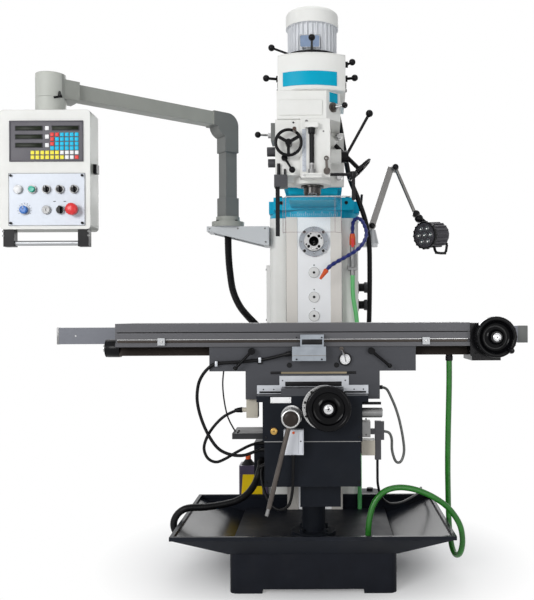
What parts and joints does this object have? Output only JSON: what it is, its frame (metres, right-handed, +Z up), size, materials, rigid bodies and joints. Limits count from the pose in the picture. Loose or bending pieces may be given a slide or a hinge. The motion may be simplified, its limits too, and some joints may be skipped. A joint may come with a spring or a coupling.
{
  "type": "knee-type universal milling machine",
  "caption": "Knee-type universal milling machine with a tilting vertical head on a turret ram, a horizontal spindle, a cross-slide table, a chip tray and a swinging control pendant.",
  "frame": {"origin": "middle of the four floor anchor holes, on the floor", "axes": "+Z up; +Y from the operator towards the column; +X to the operator's right along the table"},
  "size_m": [2.1265, 1.265, 2.33],
  "materials": {
    "plinth_paint": "satin",
    "black_paint": "gloss",
    "white_paint": "satin",
    "cover_paint": "satin",
    "grey_paint": "satin paint",
    "oil_tank": "satin",
    "valve_metal": "nickel plated",
    "jet_plastic": "satin",
    "ground_steel": "ground",
    "blue_paint": "satin",
    "black_handles": "gloss",
    "bright_levers": "satin",
    "motor_paint": "satin",
    "head_trim": "mixed",
    "belt_rubber": "matt",
    "pulley_iron": "machined",
    "clear_guard": "clear acrylic",
    "panel_face": "satin",
    "green_button": "gloss",
    "blue_knob": "gloss",
    "red_button": "gloss",
    "black_switch": "gloss",
    "knee_paint": "semi gloss",
    "knee_trim": "mixed",
    "bare_iron": "scraped and oiled",
    "saddle_trim": "satin",
    "table_trim": "satin",
    "lamp_alloy": "anodised",
    "lamp_body": "anodised",
    "black_cable": "matt",
    "green_hose": "satin"
  },
  "bodies": {
    "frame": {"base_casting": "plinth_paint", "chip_tray": "black_paint", "column": "white_paint", "lift_pedestal": "black_paint", "column_covers": "cover_paint", "column_brackets": "grey_paint", "lubricator": "oil_tank", "coolant_manifold": "valve_metal", "frame_cables": "black_cable"},
    "jet": {"coolant_jet": "jet_plastic"},
    "arbor_spindle": {"horizontal_spindle": "ground_steel"},
    "turret": {"turret": "blue_paint"},
    "ram": {"ram": "blue_paint"},
    "head": {"head_casting": "white_paint", "belt_housing": "white_paint", "drive_motor": "motor_paint", "head_fittings": "head_trim", "drive_belt": "belt_rubber"},
    "quill": {"quill": "ground_steel"},
    "spindle": {"vertical_spindle": "ground_steel"},
    "spindle_pulley": {"spindle_pulley": "pulley_iron"},
    "motor_rotor": {"motor_rotor": "pulley_iron"},
    "quill_lever": {"quill_feed_lever": "black_handles"},
    "fine_wheel": {"fine_feed_wheel": "black_handles"},
    "tilt_wheel": {"tilt_handwheel": "black_handles"},
    "quill_lock": {"quill_lock_lever": "bright_levers"},
    "range_lever": {"range_lever": "black_handles"},
    "brake_ring": {"brake_ring": "black_handles"},
    "clutch_lever": {"clutch_lever": "black_handles"},
    "belt_lever": {"belt_lever": "black_handles"},
    "feed_rate_lever": {"feed_rate_lever": "black_handles"},
    "feed_trip_lever": {"feed_trip_lever": "black_handles"},
    "guard": {"chip_guard": "clear_guard"},
    "arm": {"swing_arm": "grey_paint"},
    "pendant": {"control_box": "white_paint", "control_face": "panel_face"},
    "start_button": {"start_button": "green_button"},
    "reset_knob": {"reset_knob": "blue_knob"},
    "stop_button": {"stop_button": "red_button"},
    "selector_a": {"selector_a": "black_switch"},
    "selector_b": {"selector_b": "black_switch"},
    "selector_c": {"selector_c": "black_switch"},
    "knee": {"knee": "knee_paint", "knee_fittings": "knee_trim", "lift_screw": "ground_steel", "knee_cables": "black_cable"},
    "crank": {"knee_crank": "bright_levers"},
    "cross_wheel": {"cross_handwheel": "black_handles"},
    "saddle": {"saddle": "bare_iron", "saddle_fittings": "saddle_trim", "saddle_cables": "black_cable"},
    "lock_left": {"table_lock_left": "black_handles"},
    "lock_right": {"table_lock_right": "black_handles"},
    "table": {"table": "bare_iron", "table_fittings": "table_trim", "drain_hose": "green_hose"},
    "table_wheel": {"table_handwheel": "black_handles"},
    "lamp_lower": {"lamp_lower_arm": "lamp_alloy"},
    "lamp_upper": {"lamp_upper_arm": "lamp_alloy"},
    "lamp": {"lamp_head": "lamp_body"}
  },
  "joints": [
    {"name": "jet_swivel", "type": "hinge", "parent": "frame", "child": "jet", "pos_m": [0.178, 0.104, 1.43], "axis": [0, 0, 1], "range_deg": [-20, 30]},
    {"name": "arbor_spin", "type": "hinge", "parent": "frame", "child": "arbor_spindle", "pos_m": [0, 0.089, 1.4], "axis": [0, 1, 0], "continuous": true},
    {"name": "turret_swivel", "type": "hinge", "parent": "frame", "child": "turret", "pos_m": [0, 0.3195, 1.513], "axis": [0, 0, 1], "range_deg": [-30, 30], "deforming": ["frame_cables"]},
    {"name": "ram_slide", "type": "slide", "parent": "turret", "child": "ram", "axis": [0, 1, 0], "range_m": [-0.1, 0.2], "deforming": ["frame_cables"]},
    {"name": "head_tilt", "type": "hinge", "parent": "ram", "child": "head", "pos_m": [0, -0.174, 1.712], "axis": [0, 1, 0], "range_deg": [-45, 45], "deforming": ["frame_cables"]},
    {"name": "quill_feed", "type": "slide", "parent": "head", "child": "quill", "axis": [0, 0, -1], "range_m": [0, 0.1]},
    {"name": "spindle_spin", "type": "hinge", "parent": "quill", "child": "spindle", "pos_m": [0, -0.335, 1.6], "axis": [0, 0, 1], "continuous": true},
    {"name": "pulley_spin", "type": "hinge", "parent": "head", "child": "spindle_pulley", "pos_m": [0, -0.335, 1.99], "axis": [0, 0, 1], "continuous": true},
    {"name": "motor_spin", "type": "hinge", "parent": "head", "child": "motor_rotor", "pos_m": [0, -0.205, 2], "axis": [0, 0, 1], "continuous": true},
    {"name": "quill_lever_turn", "type": "hinge", "parent": "head", "child": "quill_lever", "pos_m": [0.13, -0.3, 1.709], "axis": [1, 0, 0], "range_deg": [0, 143.24]},
    {"name": "fine_wheel_turn", "type": "hinge", "parent": "head", "child": "fine_wheel", "pos_m": [-0.09, -0.45, 1.732], "axis": [0, 1, 0], "continuous": true},
    {"name": "tilt_wheel_turn", "type": "hinge", "parent": "head", "child": "tilt_wheel", "pos_m": [0.095, -0.225, 1.773], "axis": [0.7071, 0, -0.7071], "continuous": true},
    {"name": "quill_lock_turn", "type": "hinge", "parent": "head", "child": "quill_lock", "pos_m": [0.059, -0.452, 1.623], "axis": [0, 1, 0], "range_deg": [-30, 45]},
    {"name": "range_lever_turn", "type": "hinge", "parent": "head", "child": "range_lever", "pos_m": [0.082, -0.416, 1.88], "axis": [0.7071, -0.7071, 0], "range_deg": [-60, 60]},
    {"name": "brake_turn", "type": "hinge", "parent": "head", "child": "brake_ring", "pos_m": [0, -0.205, 2.135], "axis": [0, 0, 1], "range_deg": [-12, 12]},
    {"name": "clutch_turn", "type": "hinge", "parent": "head", "child": "clutch_lever", "pos_m": [0, -0.335, 2.018], "axis": [1, 0, 0], "range_deg": [-40, 40]},
    {"name": "belt_lever_turn", "type": "hinge", "parent": "head", "child": "belt_lever", "pos_m": [0.14, -0.398, 2.055], "axis": [1, 0, 0], "range_deg": [-25, 25]},
    {"name": "feed_rate_turn", "type": "hinge", "parent": "head", "child": "feed_rate_lever", "pos_m": [-0.17, -0.33, 1.792], "axis": [1, 0, 0], "range_deg": [-40, 40]},
    {"name": "feed_trip_turn", "type": "hinge", "parent": "head", "child": "feed_trip_lever", "pos_m": [-0.107, -0.438, 1.677], "axis": [0, 1, 0], "range_deg": [-20, 40]},
    {"name": "guard_swing", "type": "hinge", "parent": "head", "child": "guard", "pos_m": [0.163, -0.43, 1.56], "axis": [0, 0, 1], "range_deg": [0, 100]},
    {"name": "arm_swing", "type": "hinge", "parent": "frame", "child": "arm", "pos_m": [-0.4, 0.135, 1.56], "axis": [0, 0, 1], "range_deg": [-40, 35]},
    {"name": "pendant_swivel", "type": "hinge", "parent": "arm", "child": "pendant", "pos_m": [-1.035, -0.402, 1.94], "axis": [0, 0, 1], "range_deg": [-60, 60]},
    {"name": "start_press", "type": "slide", "parent": "pendant", "child": "start_button", "axis": [0, 1, 0], "range_m": [0, 0.004], "stiffness_N_per_m": 600},
    {"name": "reset_turn", "type": "hinge", "parent": "pendant", "child": "reset_knob", "pos_m": [-1.118, -0.461, 1.474], "axis": [0, 1, 0], "range_deg": [-140, 140]},
    {"name": "stop_press", "type": "slide", "parent": "pendant", "child": "stop_button", "axis": [0, 1, 0], "range_m": [0, 0.005]},
    {"name": "selector_a_turn", "type": "hinge", "parent": "pendant", "child": "selector_a", "pos_m": [-1.032, -0.461, 1.554], "axis": [0, 1, 0], "range_deg": [-45, 45]},
    {"name": "selector_b_turn", "type": "hinge", "parent": "pendant", "child": "selector_b", "pos_m": [-0.98, -0.461, 1.554], "axis": [0, 1, 0], "range_deg": [-45, 45]},
    {"name": "selector_c_turn", "type": "hinge", "parent": "pendant", "child": "selector_c", "pos_m": [-0.925, -0.461, 1.554], "axis": [0, 1, 0], "range_deg": [-45, 45]},
    {"name": "knee_lift", "type": "slide", "parent": "frame", "child": "knee", "axis": [0, 0, 1], "range_m": [-0.1, 0.15], "deforming": ["knee_cables", "drain_hose"]},
    {"name": "crank_turn", "type": "hinge", "parent": "knee", "child": "crank", "pos_m": [-0.078, -0.6, 0.682], "axis": [0, 1, 0], "continuous": true},
    {"name": "cross_wheel_turn", "type": "hinge", "parent": "knee", "child": "cross_wheel", "pos_m": [0.06, -0.59, 0.713], "axis": [0, 1, 0], "continuous": true},
    {"name": "saddle_cross", "type": "slide", "parent": "knee", "child": "saddle", "axis": [0, 1, 0], "range_m": [-0.07, 0.2], "deforming": ["saddle_cables", "drain_hose"]},
    {"name": "lock_left_turn", "type": "hinge", "parent": "saddle", "child": "lock_left", "pos_m": [-0.234, -0.484, 0.922], "axis": [0, 1, 0], "range_deg": [-30, 30]},
    {"name": "lock_right_turn", "type": "hinge", "parent": "saddle", "child": "lock_right", "pos_m": [0.227, -0.484, 0.922], "axis": [0, 1, 0], "range_deg": [-30, 30]},
    {"name": "table_traverse", "type": "slide", "parent": "saddle", "child": "table", "axis": [1, 0, 0], "range_m": [-0.12, 0.34], "deforming": ["drain_hose"]},
    {"name": "table_wheel_turn", "type": "hinge", "parent": "table", "child": "table_wheel", "pos_m": [0.698, -0.52, 0.974], "axis": [0, 1, 0], "continuous": true},
    {"name": "lamp_lower_turn", "type": "hinge", "parent": "frame", "child": "lamp_lower", "pos_m": [0.275, 0.215, 1.485], "axis": [0, 1, 0], "range_deg": [-25, 25]},
    {"name": "lamp_upper_turn", "type": "hinge", "parent": "lamp_lower", "child": "lamp_upper", "pos_m": [0.385, 0.189, 1.758], "axis": [0, 1, 0], "range_deg": [-40, 10]},
    {"name": "lamp_tilt", "type": "hinge", "parent": "lamp_upper", "child": "lamp", "pos_m": [0.48, 0.17, 1.535], "axis": [0, 1, 0], "range_deg": [-20, 30]}
  ],
  "couplings": [
    {"joint": "pulley_spin", "follows": "spindle_spin", "ratio": 1},
    {"joint": "motor_spin", "follows": "spindle_spin", "ratio": 1.4286},
    {"joint": "quill_lever_turn", "follows": "quill_feed", "rad_per_m": 25}
  ]
}
